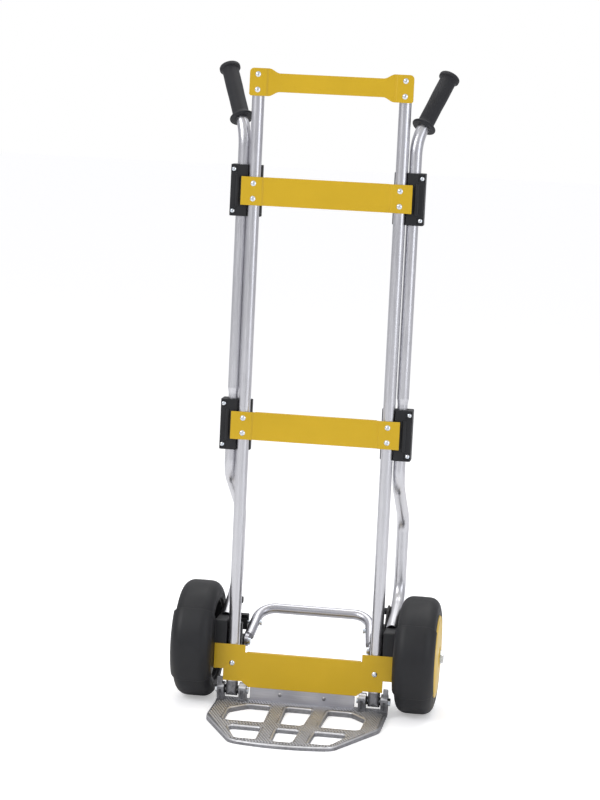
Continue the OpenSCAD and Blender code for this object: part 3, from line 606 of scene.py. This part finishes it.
def top_edges(bm, beyond):
    """Sharp edges round the top of the toe plate's deck, in front of a line across it"""
    found = []
    for edge in bm.edges:
        if not edge.is_manifold or edge.calc_face_angle() < math.radians(40):
            continue
        if not any(face.normal.z > 0.9 for face in edge.link_faces):
            continue
        if all(vert.co.y < beyond and DECK_LOWEST < vert.co.z < DECK_HIGHEST for vert in edge.verts):
            found.append(edge)
    return found


def toe_plate_bmesh(rounding):
    """The toe plate's casting with broad roundings on the upper edges of its deck"""
    bm = cad_copy("toe_plate")
    hinge_line = (UPRIGHT_LOW.y + UPRIGHT_HIGH.y) / 2
    lug_reach = 0.020
    bmesh.ops.bevel(bm, geom=top_edges(bm, hinge_line - lug_reach), offset=rounding, offset_type="OFFSET",
                    segments=4, profile=0.5, affect="EDGES", material=-1, clamp_overlap=False)
    return bm


def tread_bmesh(pitch, height, rounding):
    """Low pips, longer than wide, in staggered rows over the deck, clear of its edges, windows and lugs"""
    plate = cad_copy("toe_plate")
    bmesh.ops.triangulate(plate, faces=plate.faces)
    surface = BVHTree.FromBMesh(plate)
    down = Vector((0, 0, -1))
    stretch = 2.3
    sink = 0.0004
    half = pitch * 0.40
    clear = half + rounding * 0.6
    probes = ((0, 0), (clear, 0), (-clear, 0), (0, clear * 1.6), (0, -clear * 1.6))
    rows = int((TOE_HIGH.y - TOE_LOW.y) / (pitch * stretch)) + 2
    columns = int((TOE_HIGH.x - TOE_LOW.x) / pitch) + 2
    bm = bmesh.new()
    for row in range(2 * rows):
        y = TOE_LOW.y + row * pitch * stretch / 2
        for column in range(columns):
            x = TOE_LOW.x + (column + row % 2 / 2) * pitch
            tops = [surface.ray_cast(Vector((x + dx, y + dy, 0.1)), down)[0] for dx, dy in probes]
            if any(top is None or not DECK_LOWEST < top.z < DECK_HIGHEST for top in tops):
                continue
            place = Matrix.Translation((x, y, tops[0].z + (height - sink) / 2))
            bmesh.ops.create_cone(bm, cap_ends=True, segments=4, radius1=half, radius2=half * 0.45,
                                  depth=height + sink, matrix=place @ Matrix.Diagonal((1, stretch, 1, 1)))
    plate.free()
    return bm


# ---- operators ----

class HANDTRUCK_OT_tubes(Operator):
    """Finishes the uprights, the side tubes and the caps in the uprights"""
    bl_idname = "handtruck.tubes"
    bl_label = "Frame Tubes"

    def execute(self, context):
        for side in SIDES:
            dress(side + "_upright", side + "_handle_tube", side + "_leg_tube")
        dress("upright_caps", "leg_tube_knobs")
        return {"FINISHED"}


class HANDTRUCK_OT_cross_plates(Operator):
    """Makes the four yellow cross plates with softly rounded edges"""
    bl_idname = "handtruck.cross_plates"
    bl_label = "Cross Plates"

    def execute(self, context):
        sizes = context.scene.hand_truck_sizes
        for name in ("top_plate", "upper_plate", "lower_plate"):
            soften(name, sizes.plate_edge, bm=folded_bmesh(name, sizes.plate_fold))
        soften("bottom_plate", sizes.plate_edge)
        return {"FINISHED"}


class HANDTRUCK_OT_clamps(Operator):
    """Makes the four clamps, each a rear shell and a front cover"""
    bl_idname = "handtruck.clamps"
    bl_label = "Clamps"

    def execute(self, context):
        for side in SIDES:
            for level in ("upper", "lower"):
                soften(f"{side}_{level}_clamp", context.scene.hand_truck_sizes.clamp_edge)
                soften(f"{side}_{level}_clamp_cover", context.scene.hand_truck_sizes.clamp_edge)
        return {"FINISHED"}


class HANDTRUCK_OT_fasteners(Operator):
    """Finishes the screws, bolts, nuts, washers and rivets"""
    bl_idname = "handtruck.fasteners"
    bl_label = "Fasteners"

    def execute(self, context):
        dress("plate_screws", "clamp_bolts", "clamp_nuts", "saddle_bolts", "axle_washers", "axle_nuts",
              "bar_pivot_bolts", "bar_stop_bolts", "flange_rivets")
        return {"FINISHED"}


class HANDTRUCK_OT_grips(Operator):
    """Turns the two hand grips"""
    bl_idname = "handtruck.grips"
    bl_label = "Hand Grips"

    def execute(self, context):
        for side in SIDES:
            place, span = grip_line(side)
            bm = grip_bmesh(span)
            bmesh.ops.transform(bm, matrix=place, verts=bm.verts)
            made = piece(bm, side + "_hand_grip", side + "_grip", smooth_below=50)
            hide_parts(side + "_grip")
        return {"FINISHED"}


class HANDTRUCK_OT_wheels(Operator):
    """Turns the tyres and hub caps and finishes the rims, bearings and axles"""
    bl_idname = "handtruck.wheels"
    bl_label = "Wheels"

    def execute(self, context):
        shoulder = context.scene.hand_truck_sizes.shoulder
        for side in SIDES:
            for name, node, bm in (("_road_tyre", "_tyre", tyre_bmesh(shoulder)),
                                   ("_wheel_cover", "_hub_cap", cap_bmesh())):
                bmesh.ops.transform(bm, matrix=wheel_place(side), verts=bm.verts)
                made = piece(bm, side + name, side + node, smooth_below=50)
                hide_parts(side + node)
            dress(side + "_rim", side + "_bearings", side + "_bearing_spacer", side + "_stub_axle")
        return {"FINISHED"}


class HANDTRUCK_OT_brackets(Operator):
    """Makes the moulded wheel brackets with their guards"""
    bl_idname = "handtruck.brackets"
    bl_label = "Wheel Brackets"

    def execute(self, context):
        for side in SIDES:
            soften(side + "_wheel_bracket", context.scene.hand_truck_sizes.guard_edge)
        return {"FINISHED"}


class HANDTRUCK_OT_toe_plate(Operator):
    """Makes the cast toe plate and the tread on its deck"""
    bl_idname = "handtruck.toe_plate"
    bl_label = "Toe Plate"

    def execute(self, context):
        sizes = context.scene.hand_truck_sizes
        plate = piece(toe_plate_bmesh(sizes.deck_edge), "cast_toe_plate", "toe_plate", smooth_below=40)
        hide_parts("toe_plate")
        tread = tread_bmesh(sizes.tread_pitch, sizes.tread_height, sizes.deck_edge)
        piece(tread, "toe_plate_tread", "toe_plate", finish="worn_casting")
        return {"FINISHED"}


class HANDTRUCK_OT_hinges(Operator):
    """Finishes the feet, the hinge pins, their nuts and washers, and the strip behind the toe plate"""
    bl_idname = "handtruck.hinges"
    bl_label = "Toe Plate Hinges"

    def execute(self, context):
        for side in SIDES:
            dress(side + "_hinge_foot", side + "_hinge_pin")
        dress("hinge_nuts", "hinge_washers")
        soften("toe_back_flange", context.scene.hand_truck_sizes.plate_edge)
        return {"FINISHED"}


class HANDTRUCK_OT_rear_bar(Operator):
    """Finishes the rear bar, its eyes and the arms beside it"""
    bl_idname = "handtruck.rear_bar"
    bl_label = "Rear Bar"

    def execute(self, context):
        dress("rear_bar")
        for side in SIDES:
            soften(side + "_bar_eye", context.scene.hand_truck_sizes.plate_edge, finish="bar_aluminium")
            soften(side + "_bar_arm", context.scene.hand_truck_sizes.clamp_edge)
        return {"FINISHED"}


def area_light(name, place, aim, size, power, tint=(1, 1, 1)):
    """A soft lamp at a place, turned to the point that it is aimed at"""
    lamp = bpy.data.lights.new(name, "AREA")
    lamp.shape = "RECTANGLE"
    lamp.size, lamp.size_y = size
    lamp.energy = power
    lamp.color = tint
    made = bpy.data.objects.new(name, lamp)
    made.location = place
    made.rotation_euler = (Vector(aim) - Vector(place)).to_track_quat("-Z", "Y").to_euler()
    bpy.context.scene.collection.objects.link(made)


def studio_world():
    """White behind the object, and light that dims towards the floor"""
    world = bpy.data.worlds.new("studio")
    bpy.context.scene.world = world
    world.use_nodes = True
    tree = world.node_tree
    sky = tree.nodes["Background"]
    height = add(tree, "ShaderNodeSeparateXYZ")
    tree.links.new(add(tree, "ShaderNodeTexCoord").outputs["Generated"], height.inputs[0])
    below, above = (0.42, 0.42, 0.48, 1), (1.0, 1.0, 1.0, 1)
    tone = mixed(tree, spread(tree, height.outputs["Z"], -0.3, 0.9), below, above)
    tree.links.new(tone, sky.inputs["Color"])
    sky.inputs["Strength"].default_value = 0.75
    backdrop = add(tree, "ShaderNodeBackground", Color=(1, 1, 1, 1), Strength=1.0)
    seen = add(tree, "ShaderNodeLightPath")
    choice = add(tree, "ShaderNodeMixShader")
    tree.links.new(seen.outputs["Is Camera Ray"], choice.inputs[0])
    tree.links.new(sky.outputs[0], choice.inputs[1])
    tree.links.new(backdrop.outputs[0], choice.inputs[2])
    tree.links.new(choice.outputs[0], tree.nodes["World Output"].inputs[0])


def studio_floor():
    """Pale floor that looks a little brighter to the camera than the lamps make it"""
    bm = bmesh.new()
    bmesh.ops.create_grid(bm, x_segments=1, y_segments=1, size=30)
    bmesh.ops.translate(bm, verts=bm.verts, vec=(0, 0, -0.0005))
    mesh = bpy.data.meshes.new("floor")
    bm.to_mesh(mesh)
    bm.free()
    floor = bpy.data.objects.new("floor", mesh)
    bpy.context.scene.collection.objects.link(floor)
    paint = bpy.data.materials.new("pale floor")
    paint.use_nodes = True
    shader = paint.node_tree.nodes["Principled BSDF"]
    shader.inputs["Base Color"].default_value = (0.93, 0.93, 0.94, 1)
    shader.inputs["Roughness"].default_value = 0.8
    shader.inputs["Emission Color"].default_value = (1, 1, 1, 1)
    seen = add(paint.node_tree, "ShaderNodeLightPath")
    glow = maths(paint.node_tree, "MULTIPLY", seen.outputs["Is Camera Ray"], 0.36)
    paint.node_tree.links.new(glow, shader.inputs["Emission Strength"])
    mesh.materials.append(paint)


def studio_camera(studio):
    """Camera that looks at its target from in front, above and a little to the left"""
    sin, cos = math.sin, math.cos
    forward = Vector((-sin(studio.heading) * cos(studio.elevation),
                      cos(studio.heading) * cos(studio.elevation), -sin(studio.elevation)))
    right = Vector((cos(studio.heading), sin(studio.heading), 0))
    up = right.cross(forward)
    rolled_right = cos(studio.roll) * right + sin(studio.roll) * up
    rolled_up = cos(studio.roll) * up - sin(studio.roll) * right
    lens = bpy.data.cameras.new("camera")
    lens.sensor_fit = "HORIZONTAL"
    lens.sensor_width = 36
    lens.lens = studio.focal
    lens.clip_end = 100
    camera = bpy.data.objects.new("camera", lens)
    axes = Matrix((rolled_right, rolled_up, -forward)).transposed()
    eye = Vector(studio.target) - forward * studio.distance
    camera.matrix_world = Matrix.Translation(eye) @ axes.to_4x4()
    bpy.context.scene.collection.objects.link(camera)
    bpy.context.scene.camera = camera


class HANDTRUCK_OT_studio(Operator):
    """Sets the camera, the pale floor and the soft lights"""
    bl_idname = "handtruck.studio"
    bl_label = "Studio"

    def execute(self, context):
        studio = context.scene.hand_truck_studio
        studio_camera(studio)
        studio_world()
        studio_floor()
        middle = (0, 0.05, 0.6)
        area_light("key", (-2.6, -2.6, 3.0), middle, (2.2, 2.2), 66 * studio.light)
        area_light("fill", (3.0, -1.8, 1.6), middle, (1.6, 2.4), 21 * studio.light, (0.93, 0.95, 1.0))
        area_light("top", (0.3, 1.2, 3.6), middle, (3.0, 2.0), 44 * studio.light)
        context.scene.view_settings.view_transform = "Standard"
        return {"FINISHED"}


class HANDTRUCK_PT_panel(Panel):
    """Lists the steps that build the hand truck's looks"""
    bl_idname = "HANDTRUCK_PT_panel"
    bl_label = "Hand Truck"
    bl_space_type = "VIEW_3D"
    bl_region_type = "UI"
    bl_category = "Hand Truck"

    def draw(self, context):
        for group in (context.scene.hand_truck_colours, context.scene.hand_truck_sizes,
                      context.scene.hand_truck_studio):
            box = self.layout.box()
            for name in group.bl_rna.properties.keys():
                if name not in ("rna_type", "name"):
                    box.prop(group, name)
        for step in STEPS:
            self.layout.operator(step.bl_idname)


STEPS = (
    HANDTRUCK_OT_studio, HANDTRUCK_OT_tubes, HANDTRUCK_OT_cross_plates, HANDTRUCK_OT_clamps,
    HANDTRUCK_OT_fasteners, HANDTRUCK_OT_grips, HANDTRUCK_OT_wheels, HANDTRUCK_OT_brackets,
    HANDTRUCK_OT_toe_plate, HANDTRUCK_OT_hinges, HANDTRUCK_OT_rear_bar,
)
GROUPS = {
    "hand_truck_colours": HandTruckColours,
    "hand_truck_sizes": HandTruckSizes,
    "hand_truck_studio": HandTruckStudio,
}


def register():
    for kind in (*GROUPS.values(), *STEPS, HANDTRUCK_PT_panel):
        bpy.utils.register_class(kind)
    for name, kind in GROUPS.items():
        setattr(bpy.types.Scene, name, PointerProperty(type=kind))


def unregister():
    for name in GROUPS:
        delattr(bpy.types.Scene, name)
    for kind in (HANDTRUCK_PT_panel, *reversed(STEPS), *GROUPS.values()):
        bpy.utils.unregister_class(kind)


def main():
    register()
    for step in STEPS:
        family, name = step.bl_idname.split(".")
        getattr(getattr(bpy.ops, family), name)()


if __name__ == "__main__":
    main()
